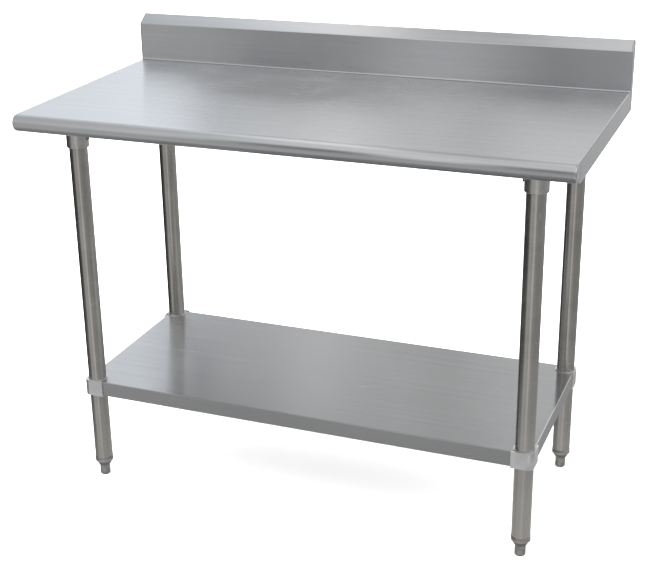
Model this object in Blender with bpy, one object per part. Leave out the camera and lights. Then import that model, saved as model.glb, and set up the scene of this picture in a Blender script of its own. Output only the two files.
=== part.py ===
"""Stainless work table: a folded worktop with a splashback, four tube legs in sockets, and an undershelf.

Metres. +X runs along the length, -Y is the working side, +Y the splashback, +Z is up.
The origin is on the floor, under the middle of the table.
"""

import math

import bmesh
import bpy
from mathutils import Matrix, Vector

# Driving dimensions
LENGTH = 1.2192  # 48 in over the worktop
DEPTH = 0.6223  # 24 1/2 in over the worktop and splashback
TOP = 0.9144  # 36 in to the working surface
SHEET = 0.0015  # 16 gauge worktop
SHELF_SHEET = 0.0012  # 18 gauge undershelf
GAP = 0.0003  # between pieces that touch

ROLL_RADIUS = 0.0193
ROLL_END_ANGLE = math.radians(300)
SIDE_DROP = 0.0457
CORNER_CUT = 0.026  # how far back each side turn-down's lower front corner is cut
COVE_RADIUS = 0.006
SPLASH_RISE = 0.0906
SPLASH_DEPTH = 0.03175
SLOPE_RISE = 0.0215
SPLASH_RETURN = 0.038
CAP_CLEAR = 0.001  # between a splashback end cap and the sheet's bends
BEND_RADIUS = 0.002

LEG_RADIUS = 0.0412750 / 2  # 1 5/8 in tube
LEG_WALL = 0.0015
LEG_SIDE_INSET = 0.09525
LEG_FRONT_INSET = 0.10795
LEG_REAR_INSET = 0.1016
LEG_BOTTOM = 0.0490
LEG_END_PLAY = 0.001  # under the socket's plate

CHANNEL_HEIGHT = 0.0254
CHANNEL_WEB = 0.070
CHANNEL_LIP = 0.018
CROSS_CHANNEL_FRONT = -0.262
CROSS_CHANNEL_REAR = 0.268
STUD_RADIUS = 0.003
NUT_ACROSS_FLATS = 0.010
NUT_HEIGHT = 0.005
STUD_REACH = 0.010  # below the channel's lip
CHANNEL_END_GAP = 0.002
STUD_SPREAD_Y = 0.115
STUD_SPREAD_X = 0.250

SOCKET_BOTTOM = 0.8249
SOCKET_RADIUS = 0.0250
SOCKET_PLATE_RADIUS = 0.0365
SOCKET_PLATE = 0.003
SOCKET_WELD = 0.004
SOCKET_CHAMFER = 0.0008
SOCKET_STEP = 0.0005  # from the bore's end down to the plate's underside
SOCKET_SCREW_RADIUS = 0.004
SOCKET_SCREW_HEIGHT = 0.020  # over the socket's mouth
SOCKET_SCREW_LENGTH = 0.0075
SOCKET_SCREW_KEY = 0.0023
SCREW_CHAMFER = 0.0006
KEY_DEPTH = 0.004

SHELF_TOP = 0.2572
SHELF_FLANGE = 0.0355
SHELF_HEM = 0.012
SHELF_OVERHANG = 0.0210  # past the leg centres
STIFFENER_HEIGHT = 0.020
STIFFENER_WEB = 0.060
STIFFENER_LIP = 0.015
STIFFENER_END_GAP = 0.004

CLAMP_REACH = 0.0242  # from the leg centre to the outer faces
CLAMP_RING_RADIUS = 0.0240
CLAMP_CORNER_RADIUS = 0.014
CLAMP_BELOW = 0.0372
CLAMP_ABOVE = 0.0016
CLAMP_RING_PROUD = 0.0004
CLAMP_SCREW_RADIUS = 0.003
CLAMP_SCREW_DROP = 0.020
CLAMP_SCREW_LENGTH = 0.0125
CLAMP_SCREW_KEY = 0.0017
CLAMP_BOSS_RADIUS = 0.0065
CLAMP_BOSS_START = LEG_RADIUS + 0.0015
CLAMP_BOSS_END = 0.032

INSERT_COLLAR_RADIUS = 0.02135
INSERT_COLLAR_BOTTOM = 0.0375
INSERT_CHAMFER = 0.0005
INSERT_NOSE_RADIUS = 0.0146
INSERT_NOSE_BOTTOM = 0.0265
INSERT_POCKET_TOP = 0.0530
INSERT_TOP = 0.0800
FOOT_RADIUS = 0.0120
FOOT_TOP = 0.0340
FOOT_BOTTOM_ROUND = 0.0035
FOOT_BORE_BOTTOM = 0.0200
STEM_RADIUS = 0.0078
STEM_TOP = 0.0960
STEM_CHAMFER = 0.0012
FIT = 0.0004  # radial clearance of the sliding fits

CUTTER_PAST = 0.004  # how far a cutter runs past what it cuts
CORNER_CLEAR = 0.05  # a cutter's sides where it takes a whole corner off
TUBE_SIDES = 32
TURNED_SIDES = 24
STEM_SIDES = 16
SMALL_SIDES = 12
CAP_STEPS = 20
CORNER_STEPS = 6
FOOT_STEPS = 3

SIDES = (("left", -1), ("right", 1))
ENDS = ("front", "rear")

HALF = LENGTH / 2
FRONT = -DEPTH / 2
REAR = DEPTH / 2
SPLASH_FACE = REAR - SPLASH_DEPTH
LEG_X = HALF - LEG_SIDE_INSET
LEG_Y = {"front": FRONT + LEG_FRONT_INSET, "rear": REAR - LEG_REAR_INSET}
CHANNEL_TOP = TOP - SHEET - GAP
CHANNEL_BOTTOM = CHANNEL_TOP - CHANNEL_HEIGHT
SOCKET_TOP = CHANNEL_BOTTOM - GAP
LEG_TOP = SOCKET_TOP - SOCKET_PLATE - LEG_END_PLAY
SHELF_BOTTOM = SHELF_TOP - SHELF_FLANGE
SHELF_MIDDLE_Y = (LEG_Y["front"] + LEG_Y["rear"]) / 2


# Scene and materials


def clear_scene():
    for obj in list(bpy.data.objects):
        bpy.data.objects.remove(obj)


def metal(name, colour, roughness):
    material = bpy.data.materials.new(name)
    material.use_nodes = True
    shader = material.node_tree.nodes["Principled BSDF"]
    shader.inputs["Base Color"].default_value = (*colour, 1)
    shader.inputs["Roughness"].default_value = roughness
    shader.inputs["Metallic"].default_value = 1
    return material


def make_materials():
    return {
        "worktop": metal("brushed_stainless", (0.66, 0.67, 0.68), 0.30),
        "shelf": metal("shelf_stainless", (0.60, 0.61, 0.62), 0.33),
        "tube": metal("polished_tube", (0.56, 0.54, 0.51), 0.22),
        "cast": metal("cast_aluminium", (0.74, 0.75, 0.76), 0.42),
        "socket": metal("socket_steel", (0.66, 0.65, 0.65), 0.35),
        "zinc": metal("galvanised_steel", (0.58, 0.59, 0.60), 0.45),
        "screw": metal("plated_screw", (0.35, 0.35, 0.36), 0.35),
    }


# Meshes


def add_object(name, bm, material, location=(0, 0, 0), rotation=(0, 0, 0)):
    bmesh.ops.recalc_face_normals(bm, faces=bm.faces)
    mesh = bpy.data.meshes.new(name)
    bm.to_mesh(mesh)
    bm.free()
    mesh.shade_smooth()
    mesh.set_sharp_from_angle(angle=math.radians(35))
    obj = bpy.data.objects.new(name, mesh)
    obj.location = location
    obj.rotation_euler = rotation
    if material:
        mesh.materials.append(material)
    bpy.context.scene.collection.objects.link(obj)
    return obj


def arc(centre, radius, start, end, steps):
    """Points of an arc in a plane, both ends included."""
    angles = [start + (end - start) * i / steps for i in range(steps + 1)]
    return [(centre[0] + radius * math.cos(a), centre[1] + radius * math.sin(a)) for a in angles]


def sheet_outline(path, thickness):
    """An open path as a sheet of this thickness, laid to the right of the path, with mitred bends."""
    points = [Vector(p) for p in path]
    inner = []
    for i, point in enumerate(points):
        before = (point - points[i - 1]).normalized() if i else None
        after = (points[i + 1] - point).normalized() if i + 1 < len(points) else None
        along = [d for d in (before, after) if d is not None]
        normals = [Vector((d.y, -d.x)) for d in along]
        middle = sum(normals, Vector((0, 0))).normalized()
        inner.append(point + middle * thickness / middle.dot(normals[0]))
    return path + [tuple(p) for p in reversed(inner)]


def extruded(outline, axis, start, end):
    """A closed outline drawn out along an axis: (y, z) for X, (x, z) for Y, (x, y) for Z."""
    place = {
        "X": lambda a, b, t: (t, a, b),
        "Y": lambda a, b, t: (a, t, b),
        "Z": lambda a, b, t: (a, b, t),
    }[axis]
    bm = bmesh.new()
    first = [bm.verts.new(place(a, b, start)) for a, b in outline]
    last = [bm.verts.new(place(a, b, end)) for a, b in outline]
    bm.faces.new(first)
    bm.faces.new(last)
    for i in range(len(outline)):
        j = (i + 1) % len(outline)
        bm.faces.new((first[i], first[j], last[j], last[i]))
    return bm


def box(low, high):
    outline = [(low[0], low[1]), (high[0], low[1]), (high[0], high[1]), (low[0], high[1])]
    return extruded(outline, "Z", low[2], high[2])


def turned(profile, segments):
    """A profile of (radius, height) points spun around Z: closed, it leaves a bore, and open, it meets the axis."""
    bm = bmesh.new()
    verts = [bm.verts.new((radius, 0, height)) for radius, height in profile]
    edges = [bm.edges.new(pair) for pair in zip(verts, verts[1:])]
    if profile[0][0] > 0:
        edges.append(bm.edges.new((verts[-1], verts[0])))
    bmesh.ops.spin(
        bm, geom=verts + edges, cent=(0, 0, 0), axis=(0, 0, 1), angle=2 * math.pi, steps=segments, use_merge=True
    )
    bmesh.ops.remove_doubles(bm, verts=bm.verts, dist=1e-6)
    return bm


def cylinder(radius, start, end, segments):
    return turned([(0, start), (radius, start), (radius, end), (0, end)], segments)


def along_x(bm):
    bmesh.ops.rotate(bm, verts=bm.verts, matrix=Matrix.Rotation(math.radians(90), 3, "Y"))
    return bm


def combine(obj, bm, operation):
    """Adds a Boolean of this mesh, drawn in the object's own space, as a hidden helper."""
    helper = add_object(f"{obj.name}.{operation.lower()}.{len(obj.modifiers)}", bm, None)
    helper.parent = obj
    helper.hide_render = True
    helper.display_type = "WIRE"
    modifier = obj.modifiers.new(operation.lower(), "BOOLEAN")
    modifier.operation = operation
    modifier.object = helper
    modifier.solver = "EXACT"


# Worktop


def worktop_path():
    """The sheet's outer side, from under the front roll, over the deck, to the splashback's rear return."""
    roll = arc((FRONT + ROLL_RADIUS, TOP - ROLL_RADIUS), ROLL_RADIUS, ROLL_END_ANGLE, math.pi / 2, 20)
    cove = arc((SPLASH_FACE - COVE_RADIUS, TOP + COVE_RADIUS), COVE_RADIUS, -math.pi / 2, 0, 5)
    tilt = math.atan2(SLOPE_RISE, SPLASH_DEPTH)
    brow = (SPLASH_FACE, TOP + SPLASH_RISE)
    ridge = (REAR, TOP + SPLASH_RISE + SLOPE_RISE)
    slope = Vector((math.cos(tilt), math.sin(tilt))) * BEND_RADIUS
    brow_bend = [(brow[0], brow[1] - BEND_RADIUS), (brow[0] + slope.x, brow[1] + slope.y)]
    ridge_bend = [(ridge[0] - slope.x, ridge[1] - slope.y), (ridge[0], ridge[1] - BEND_RADIUS)]
    return roll + cove + brow_bend + ridge_bend + [(REAR, ridge[1] - SPLASH_RETURN)]


def make_worktop(materials):
    profile = extruded(sheet_outline(worktop_path(), SHEET), "X", -HALF, HALF)
    top = add_object("worktop_sheet", profile, materials["worktop"])
    front = FRONT + ROLL_RADIUS
    rear = SPLASH_FACE + SHEET / 2
    outline = [(front, TOP - SHEET / 2), (front, TOP - 2 * ROLL_RADIUS), (front + CORNER_CUT, TOP - SIDE_DROP)]
    outline += [(rear, TOP - SIDE_DROP), (rear, TOP - SHEET / 2)]
    for _, sign in SIDES:
        start, end = sorted((sign * HALF, sign * (HALF - SHEET)))
        combine(top, extruded(outline, "X", start, end), "UNION")


def make_roll_end_caps(materials):
    radius = ROLL_RADIUS - SHEET - GAP
    clear_of_flange = math.asin(2 * GAP / radius)
    angles = (math.pi / 2 + clear_of_flange, 3 * math.pi / 2 - clear_of_flange)
    outline = arc((FRONT + ROLL_RADIUS, TOP - ROLL_RADIUS), radius, *angles, CAP_STEPS)
    for side, sign in SIDES:
        start, end = sorted((sign * HALF, sign * (HALF - SHEET)))
        add_object(f"roll_end_cap_{side}", extruded(outline, "X", start, end), materials["worktop"])


def make_splash_end_caps(materials):
    front = SPLASH_FACE + SHEET + GAP
    rear = REAR - SHEET - GAP
    tilt = SLOPE_RISE / SPLASH_DEPTH
    under_brow = TOP + SPLASH_RISE - (SHEET + GAP) * math.hypot(1, tilt)
    top_front = under_brow + (front - SPLASH_FACE) * tilt
    top_rear = under_brow + (rear - SPLASH_FACE) * tilt
    outline = [(front, TOP - SIDE_DROP), (rear, TOP - SIDE_DROP), (rear, top_rear - CAP_CLEAR)]
    outline += [(rear - CAP_CLEAR, top_rear - CAP_CLEAR), (front, top_front - CAP_CLEAR)]
    for side, sign in SIDES:
        start, end = sorted((sign * HALF, sign * (HALF - SHEET)))
        add_object(f"splash_end_cap_{side}", extruded(outline, "X", start, end), materials["worktop"])


# Framing under the worktop


def hat_outline(top, height, web, lip, thickness, centre=0):
    """A hat section hung from a surface: two lips against it, and a web below."""
    wall = web / 2
    web_top = top - height + thickness
    path = [(-wall - lip, top), (-wall, top), (-wall, web_top), (wall, web_top), (wall, top), (wall + lip, top)]
    return [(centre + a, b) for a, b in sheet_outline(path, thickness)]


def drill(obj, places, radius, bottom, top):
    for x, y in places:
        cutter = cylinder(radius, bottom, top, SMALL_SIDES)
        bmesh.ops.translate(cutter, verts=cutter.verts, vec=(x, y, 0))
        combine(obj, cutter, "DIFFERENCE")


def stud_places():
    lip_middle = CHANNEL_WEB / 2 + CHANNEL_LIP / 2 + SHEET / 2
    cross = {}
    for side, sign in SIDES:
        offsets = [(-1, -1), (1, -1), (-1, 1), (1, 1)]
        cross[side] = [(sign * LEG_X + a * lip_middle, b * STUD_SPREAD_Y) for a, b in offsets]
    long = [(a * STUD_SPREAD_X, b * lip_middle) for a in (-1, 1) for b in (-1, 1)]
    return cross, long


def make_channels(materials):
    cross, long = stud_places()
    lip_holes = (STUD_RADIUS + GAP, CHANNEL_TOP - CUTTER_PAST, CHANNEL_TOP + CUTTER_PAST)
    for side, sign in SIDES:
        outline = hat_outline(CHANNEL_TOP, CHANNEL_HEIGHT, CHANNEL_WEB, CHANNEL_LIP, SHEET, sign * LEG_X)
        channel = extruded(outline, "Y", CROSS_CHANNEL_FRONT, CROSS_CHANNEL_REAR)
        obj = add_object(f"cross_channel_{side}", channel, materials["zinc"])
        drill(obj, cross[side], *lip_holes)
    reach = LEG_X - CHANNEL_WEB / 2 - CHANNEL_LIP - SHEET - CHANNEL_END_GAP
    outline = hat_outline(CHANNEL_TOP, CHANNEL_HEIGHT, CHANNEL_WEB, CHANNEL_LIP, SHEET)
    obj = add_object("long_channel", extruded(outline, "X", -reach, reach), materials["zinc"])
    drill(obj, long, *lip_holes)


def make_stud_nuts(materials):
    """Each stud is welded under the deck, and its nut holds a channel's lip up."""
    cross, long = stud_places()
    named = [(f"cross_{side}", cross[side]) for side, _ in SIDES] + [("long", long)]
    lip_bottom = CHANNEL_TOP - SHEET
    corner_radius = NUT_ACROSS_FLATS / 2 / math.cos(math.pi / 6)
    for row, places in named:
        for i, (x, y) in enumerate(places, 1):
            stud = cylinder(STUD_RADIUS, -STUD_REACH, CHANNEL_TOP - lip_bottom, SMALL_SIDES)
            obj = add_object(f"stud_nut_{row}_{i}", stud, materials["screw"], (x, y, lip_bottom))
            nut = cylinder(corner_radius, -GAP - NUT_HEIGHT, -GAP, 6)
            combine(obj, nut, "UNION")


# Legs


def corners():
    for end in ENDS:
        for side, sign in SIDES:
            yield f"{end}_{side}", sign, sign * LEG_X, LEG_Y[end]


def socketed_screw(radius, length, key_radius):
    """A set screw along +X from the origin, with the key's hexagon in its outer end."""
    profile = [(0, 0), (radius - SCREW_CHAMFER, 0), (radius, SCREW_CHAMFER), (radius, length), (0, length)]
    key = cylinder(key_radius, length - KEY_DEPTH, length + CUTTER_PAST, 6)
    return along_x(turned(profile, SMALL_SIDES)), along_x(key)


def make_sockets(materials):
    bore = LEG_RADIUS + FIT
    bore_top = SOCKET_TOP - SOCKET_PLATE
    plate_bottom = bore_top - SOCKET_STEP
    profile = [(bore, SOCKET_BOTTOM), (SOCKET_RADIUS - SOCKET_CHAMFER, SOCKET_BOTTOM)]
    profile += [(SOCKET_RADIUS, SOCKET_BOTTOM + SOCKET_CHAMFER)]
    profile += [(SOCKET_RADIUS, plate_bottom - SOCKET_WELD), (SOCKET_RADIUS + SOCKET_WELD, plate_bottom)]
    profile += [(SOCKET_PLATE_RADIUS, plate_bottom), (SOCKET_PLATE_RADIUS, SOCKET_TOP), (0, SOCKET_TOP)]
    profile = [(0, bore_top), (bore, bore_top)] + profile
    screw_z = SOCKET_BOTTOM + SOCKET_SCREW_HEIGHT
    for corner, sign, x, y in corners():
        obj = add_object(f"leg_socket_{corner}", turned(profile, TURNED_SIDES), materials["socket"], (x, y, 0))
        reach = (LEG_RADIUS - CUTTER_PAST, SOCKET_RADIUS + CUTTER_PAST)
        hole = along_x(cylinder(SOCKET_SCREW_RADIUS + GAP, *reach, SMALL_SIDES))
        turn_inward(hole, sign, screw_z)
        combine(obj, hole, "DIFFERENCE")
        screw, key = socketed_screw(SOCKET_SCREW_RADIUS, SOCKET_SCREW_LENGTH, SOCKET_SCREW_KEY)
        start = LEG_RADIUS + GAP
        for piece in (screw, key):
            bmesh.ops.translate(piece, verts=piece.verts, vec=(start, 0, 0))
            turn_inward(piece, sign, screw_z)
        obj = add_object(f"socket_set_screw_{corner}", screw, materials["screw"], (x, y, 0))
        combine(obj, key, "DIFFERENCE")


def turn_inward(bm, sign, height):
    """Points what lies along +X at the middle of the table, and lifts it."""
    if sign > 0:
        bmesh.ops.rotate(bm, verts=bm.verts, matrix=Matrix.Rotation(math.pi, 3, "Z"))
    bmesh.ops.translate(bm, verts=bm.verts, vec=(0, 0, height))


def make_legs(materials):
    inner = LEG_RADIUS - LEG_WALL
    profile = [(inner, LEG_BOTTOM), (LEG_RADIUS, LEG_BOTTOM), (LEG_RADIUS, LEG_TOP), (inner, LEG_TOP)]
    for corner, _, x, y in corners():
        add_object(f"leg_tube_{corner}", turned(profile, TUBE_SIDES), materials["tube"], (x, y, 0))


# Undershelf


def shelf_limits(past_legs):
    low = (-LEG_X - past_legs, LEG_Y["front"] - past_legs)
    high = (LEG_X + past_legs, LEG_Y["rear"] + past_legs)
    return low, high


def shelf_box(past_legs, bottom, top):
    low, high = shelf_limits(past_legs)
    return box((*low, bottom), (*high, top))


def make_shelf_pan(materials):
    blank = shelf_box(SHELF_OVERHANG, SHELF_BOTTOM, SHELF_TOP)
    rim = [e for e in blank.edges if all(abs(v.co.z - SHELF_TOP) < 1e-6 for v in e.verts)]
    bmesh.ops.bevel(blank, geom=rim, offset=BEND_RADIUS, segments=2, affect="EDGES", profile=0.5)
    pan = add_object("undershelf_pan", blank, materials["shelf"])
    inside = SHELF_OVERHANG - SHELF_SHEET
    combine(pan, shelf_box(inside, SHELF_BOTTOM + SHELF_SHEET, SHELF_TOP - SHELF_SHEET), "DIFFERENCE")
    opening = shelf_box(inside - SHELF_HEM, SHELF_BOTTOM - CUTTER_PAST, SHELF_BOTTOM + CUTTER_PAST)
    combine(pan, opening, "DIFFERENCE")
    cut_bottom = SHELF_BOTTOM - CUTTER_PAST
    cut_top = SHELF_TOP + CUTTER_PAST
    for corner, sign, x, y in corners():
        front = -1 if y < SHELF_MIDDLE_Y else 1
        notch = cylinder(CLAMP_RING_RADIUS + GAP, cut_bottom, cut_top, TURNED_SIDES)
        bmesh.ops.translate(notch, verts=notch.verts, vec=(x, y, 0))
        combine(pan, notch, "DIFFERENCE")
        ends_x = sorted((x - sign * GAP, x + sign * CORNER_CLEAR))
        ends_y = sorted((y - front * GAP, y + front * CORNER_CLEAR))
        corner_cut = box((ends_x[0], ends_y[0], cut_bottom), (ends_x[1], ends_y[1], cut_top))
        combine(pan, corner_cut, "DIFFERENCE")


def make_shelf_stiffener(materials):
    top = SHELF_TOP - SHELF_SHEET - GAP
    outline = hat_outline(top, STIFFENER_HEIGHT, STIFFENER_WEB, STIFFENER_LIP, SHELF_SHEET, SHELF_MIDDLE_Y)
    reach = LEG_X + SHELF_OVERHANG - SHELF_SHEET - SHELF_HEM - STIFFENER_END_GAP
    add_object("shelf_stiffener", extruded(outline, "X", -reach, reach), materials["zinc"])


def clamp_outline():
    """The casting's skirt, in a corner's outward axes: two thin arms outside the pan, and a solid corner."""
    reach = CLAMP_REACH
    inner = SHELF_OVERHANG + GAP
    bend = reach - CLAMP_CORNER_RADIUS
    outline = [(inner, 0), (0, 0), (0, inner), (-reach, inner), (-reach, reach)]
    outline += arc((bend, bend), CLAMP_CORNER_RADIUS, math.pi / 2, 0, CORNER_STEPS)
    return outline + [(reach, -reach), (inner, -reach)]


def make_clamps(materials):
    bottom = SHELF_TOP - CLAMP_BELOW
    top = SHELF_TOP + CLAMP_ABOVE
    screw_z = SHELF_TOP - CLAMP_SCREW_DROP
    for corner, sign, x, y in corners():
        front = -1 if y < SHELF_MIDDLE_Y else 1
        outline = [(sign * a, front * b) for a, b in clamp_outline()]
        skirt = extruded(outline, "Z", bottom, top)
        obj = add_object(f"corner_clamp_{corner}", skirt, materials["cast"], (x, y, 0))
        ends = (bottom - CLAMP_RING_PROUD, top + CLAMP_RING_PROUD)
        ring = cylinder(CLAMP_RING_RADIUS, *ends, TURNED_SIDES)
        combine(obj, ring, "UNION")
        inward = math.atan2(-front, -sign)
        boss = along_x(cylinder(CLAMP_BOSS_RADIUS, CLAMP_BOSS_START, CLAMP_BOSS_END, SMALL_SIDES))
        reach = (LEG_RADIUS - CUTTER_PAST, CLAMP_BOSS_END + CUTTER_PAST)
        hole = along_x(cylinder(CLAMP_SCREW_RADIUS + GAP, *reach, SMALL_SIDES))
        screw, key = socketed_screw(CLAMP_SCREW_RADIUS, CLAMP_SCREW_LENGTH, CLAMP_SCREW_KEY)
        start = LEG_RADIUS + GAP
        for piece in (screw, key):
            bmesh.ops.translate(piece, verts=piece.verts, vec=(start, 0, 0))
        for piece in (boss, hole, screw, key):
            bmesh.ops.rotate(piece, verts=piece.verts, matrix=Matrix.Rotation(inward, 3, "Z"))
            bmesh.ops.translate(piece, verts=piece.verts, vec=(0, 0, screw_z))
        combine(obj, boss, "UNION")
        bore = cylinder(LEG_RADIUS + FIT, bottom - CUTTER_PAST, top + CUTTER_PAST, TUBE_SIDES)
        combine(obj, bore, "DIFFERENCE")
        combine(obj, hole, "DIFFERENCE")
        obj = add_object(f"clamp_set_screw_{corner}", screw, materials["screw"], (x, y, 0))
        combine(obj, key, "DIFFERENCE")


# Feet


def make_foot_inserts(materials):
    plug = LEG_RADIUS - LEG_WALL - GAP
    pocket = FOOT_RADIUS + FIT
    thread = STEM_RADIUS + FIT
    collar_top = LEG_BOTTOM - GAP
    profile = [(pocket, INSERT_NOSE_BOTTOM), (INSERT_NOSE_RADIUS, INSERT_NOSE_BOTTOM)]
    profile += [(INSERT_COLLAR_RADIUS - INSERT_CHAMFER, INSERT_COLLAR_BOTTOM)]
    profile += [(INSERT_COLLAR_RADIUS, INSERT_COLLAR_BOTTOM + 2 * INSERT_CHAMFER)]
    profile += [(INSERT_COLLAR_RADIUS, collar_top), (plug, collar_top), (plug, INSERT_TOP)]
    profile += [(thread, INSERT_TOP), (thread, INSERT_POCKET_TOP), (pocket, INSERT_POCKET_TOP)]
    for corner, _, x, y in corners():
        add_object(f"foot_insert_{corner}", turned(profile, TURNED_SIDES), materials["tube"], (x, y, 0))


def make_feet(materials):
    """Each foot's stem has its origin on the foot's axis, and the foot is its child, turning on that axis."""
    round_centre = (FOOT_RADIUS - FOOT_BOTTOM_ROUND, FOOT_BOTTOM_ROUND)
    rounded = arc(round_centre, FOOT_BOTTOM_ROUND, -math.pi / 2, 0, FOOT_STEPS)
    bore = STEM_RADIUS + GAP
    foot_profile = [(0, 0)] + rounded + [(FOOT_RADIUS, FOOT_TOP), (bore, FOOT_TOP), (bore, FOOT_BORE_BOTTOM)]
    foot_profile += [(0, FOOT_BORE_BOTTOM)]
    stem_bottom = FOOT_BORE_BOTTOM + GAP
    stem_profile = [(0, stem_bottom), (STEM_RADIUS, stem_bottom), (STEM_RADIUS, STEM_TOP - STEM_CHAMFER)]
    stem_profile += [(STEM_RADIUS - STEM_CHAMFER, STEM_TOP), (0, STEM_TOP)]
    for corner, _, x, y in corners():
        spun = turned(stem_profile, STEM_SIDES)
        stem = add_object(f"foot_stem_{corner}", spun, materials["screw"], (x, y, 0))
        foot = add_object(f"bullet_foot_{corner}", turned(foot_profile, TURNED_SIDES), materials["tube"])
        foot.parent = stem


def main():
    clear_scene()
    materials = make_materials()
    make_worktop(materials)
    make_roll_end_caps(materials)
    make_splash_end_caps(materials)
    make_channels(materials)
    make_stud_nuts(materials)
    make_sockets(materials)
    make_legs(materials)
    make_shelf_pan(materials)
    make_shelf_stiffener(materials)
    make_clamps(materials)
    make_foot_inserts(materials)
    make_feet(materials)


main()
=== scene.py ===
import math

import bmesh
import bpy
from mathutils import Matrix, Vector


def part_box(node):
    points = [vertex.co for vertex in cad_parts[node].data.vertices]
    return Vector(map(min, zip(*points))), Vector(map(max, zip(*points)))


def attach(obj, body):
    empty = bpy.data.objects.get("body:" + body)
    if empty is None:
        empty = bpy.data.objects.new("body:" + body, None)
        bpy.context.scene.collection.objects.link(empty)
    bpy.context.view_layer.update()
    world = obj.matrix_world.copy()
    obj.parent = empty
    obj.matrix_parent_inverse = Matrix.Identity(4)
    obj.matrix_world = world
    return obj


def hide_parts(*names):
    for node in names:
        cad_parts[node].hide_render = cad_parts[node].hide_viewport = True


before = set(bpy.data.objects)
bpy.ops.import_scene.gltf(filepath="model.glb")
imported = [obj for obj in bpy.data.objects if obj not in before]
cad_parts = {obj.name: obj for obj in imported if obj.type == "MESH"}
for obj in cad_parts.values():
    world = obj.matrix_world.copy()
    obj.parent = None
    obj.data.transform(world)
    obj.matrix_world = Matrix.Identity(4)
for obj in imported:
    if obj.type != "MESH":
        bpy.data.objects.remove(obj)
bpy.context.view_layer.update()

cornerNames = ["front_left", "front_right", "rear_left", "rear_right"]


def middleOf(node):
    low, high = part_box(node)
    return (low + high) / 2


legAt = {corner: middleOf(f"leg_tube_{corner}") for corner in cornerNames}
outward = {corner: (math.copysign(1, at.x), math.copysign(1, at.y)) for corner, at in legAt.items()}


# Working in edit mode


def deselectAll():
    if bpy.context.mode != "OBJECT":
        bpy.ops.object.mode_set(mode="OBJECT")
    bpy.ops.object.select_all(action="DESELECT")


def makeActive(piece):
    deselectAll()
    piece.select_set(True)
    bpy.context.view_layer.objects.active = piece


def editNew(name):
    # names the primitive just added, puts its place in its mesh and opens it
    piece = bpy.context.object
    piece.name = name
    bpy.ops.object.transform_apply(location=True, rotation=True, scale=True)
    bpy.ops.object.mode_set(mode="EDIT")
    bpy.ops.mesh.select_all(action="SELECT")
    return piece


def choose(kind, test):
    # selects the faces, edges or points that pass the test, and nothing else
    bpy.ops.mesh.select_mode(type=kind)
    bpy.ops.mesh.select_all(action="DESELECT")
    mesh = bpy.context.object.data
    drawn = bmesh.from_edit_mesh(mesh)
    for element in {"FACE": drawn.faces, "EDGE": drawn.edges, "VERT": drawn.verts}[kind]:
        element.select_set(test(element))
    drawn.select_flush_mode()
    bmesh.update_edit_mesh(mesh)


def chooseEdges(test):
    # the edges whose two ends both pass the test
    choose("EDGE", lambda edge: all(test(vert.co) for vert in edge.verts))


def chooseFaces(test):
    # the faces whose middle passes the test
    choose("FACE", lambda face: test(face.calc_center_median()))


def near(a, b, slack=1e-5):
    return abs(a - b) < slack


def drawOut(x=0, y=0, z=0):
    bpy.ops.mesh.extrude_edges_move(TRANSFORM_OT_translate={"value": (x, y, z)})


def tidyMesh():
    bpy.ops.mesh.select_all(action="SELECT")
    bpy.ops.mesh.remove_doubles(threshold=1e-6)
    bpy.ops.mesh.normals_make_consistent(inside=False)
    bpy.ops.mesh.select_all(action="DESELECT")
    bpy.ops.object.mode_set(mode="OBJECT")


def applyModifier(piece, kind, **settings):
    makeActive(piece)
    modifier = piece.modifiers.new(kind.lower(), kind)
    for name, value in settings.items():
        setattr(modifier, name, value)
    bpy.ops.object.modifier_apply(modifier=modifier.name)


toolPast = 0.01  # how far a cutting tool runs past the piece


def cut(piece, tool, operation="DIFFERENCE"):
    applyModifier(piece, "BOOLEAN", object=tool, operation=operation, solver="EXACT")
    bpy.data.objects.remove(tool)


def shadeByAngle(piece, angle=35):
    makeActive(piece)
    bpy.ops.object.shade_smooth_by_angle(angle=math.radians(angle))
    applyModifier(piece, "WEIGHTED_NORMAL", keep_sharp=True, weight=50)


def roundPoints(centre, radius, start, end, steps):
    # points round an arc, from one angle in degrees to another
    points = []
    for step in range(steps + 1):
        angle = math.radians(start + (end - start) * step / steps)
        points.append((centre[0] + radius * math.cos(angle), centre[1] + radius * math.sin(angle)))
    return points


def turnedPiece(name, rings, sides, hollow=False):
    # a ring drawn out and scaled to each radius and height in turn
    deselectAll()
    radius, height = rings[0]
    bpy.ops.mesh.primitive_circle_add(vertices=sides, radius=radius, location=(0, 0, height))
    piece = editNew(name)
    for nextRadius, nextHeight in rings[1:] + (rings[:1] if hollow else []):
        drawOut(z=nextHeight - height)
        grow = nextRadius / radius
        bpy.ops.transform.resize(value=(grow, grow, 1), center_override=(0, 0, nextHeight))
        radius, height = nextRadius, nextHeight
    if not hollow:
        bpy.ops.mesh.select_all(action="SELECT")
        bpy.ops.mesh.fill_holes(sides=0)
    tidyMesh()
    return piece


def startEdge(name, reach, y, z):
    # one edge along X, selected, ready to be drawn out into a sheet
    deselectAll()
    bpy.ops.mesh.primitive_plane_add(size=2 * reach, location=(0, y - reach, z))
    piece = editNew(name)
    choose("VERT", lambda vert: vert.co.y < y - reach)
    bpy.ops.mesh.delete(type="VERT")
    bpy.ops.mesh.select_mode(type="EDGE")
    bpy.ops.mesh.select_all(action="SELECT")
    return piece


def foldEdges(test, radius, segments=4):
    chooseEdges(test)
    bpy.ops.mesh.bevel(offset=radius, segments=segments, affect="EDGES", clamp_overlap=False)


def thicken(piece, wall, side):
    # gives the sheet its wall on the side that this direction points to
    largest = max(piece.data.polygons, key=lambda face: face.area)
    offset = 1 if largest.normal.dot(Vector(side)) > 0 else -1
    applyModifier(piece, "SOLIDIFY", thickness=wall, offset=offset, use_even_offset=True)


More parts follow.
